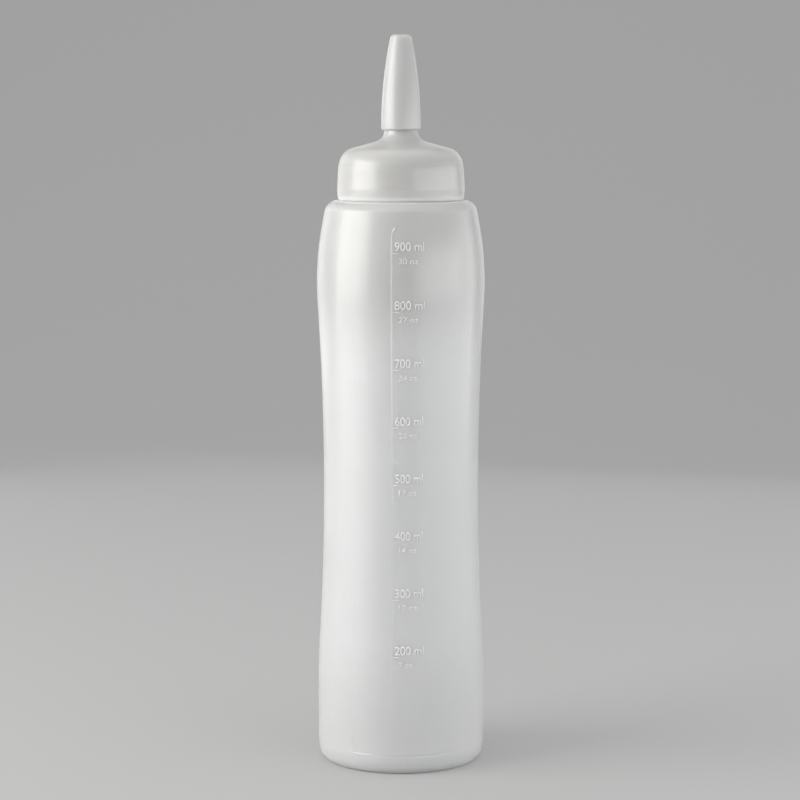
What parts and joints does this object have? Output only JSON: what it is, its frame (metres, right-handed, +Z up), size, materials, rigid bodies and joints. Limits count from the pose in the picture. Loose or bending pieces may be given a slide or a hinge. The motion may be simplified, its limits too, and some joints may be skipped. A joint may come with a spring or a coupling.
{
  "type": "squeeze bottle",
  "caption": "Tall waisted squeeze bottle of frosted soft plastic with a raised filling scale, a screw cap with a long tapered nozzle, and a slip-on nozzle cover.",
  "frame": {"origin": "middle of the ring that the bottle stands on", "axes": "+Z up along the bottle's axis, -Y towards the side with the filling scale, +X to the right of that side"},
  "size_m": [0.076, 0.076, 0.3284],
  "materials": {
    "bottle_plastic": "frosted, translucent, satin",
    "cap_plastic": "frosted, satin",
    "cover_plastic": "frosted, satin"
  },
  "bodies": {
    "root": {"bottle": "bottle_plastic", "cap": "cap_plastic", "tip_cap": "cover_plastic"}
  },
  "joints": []
}
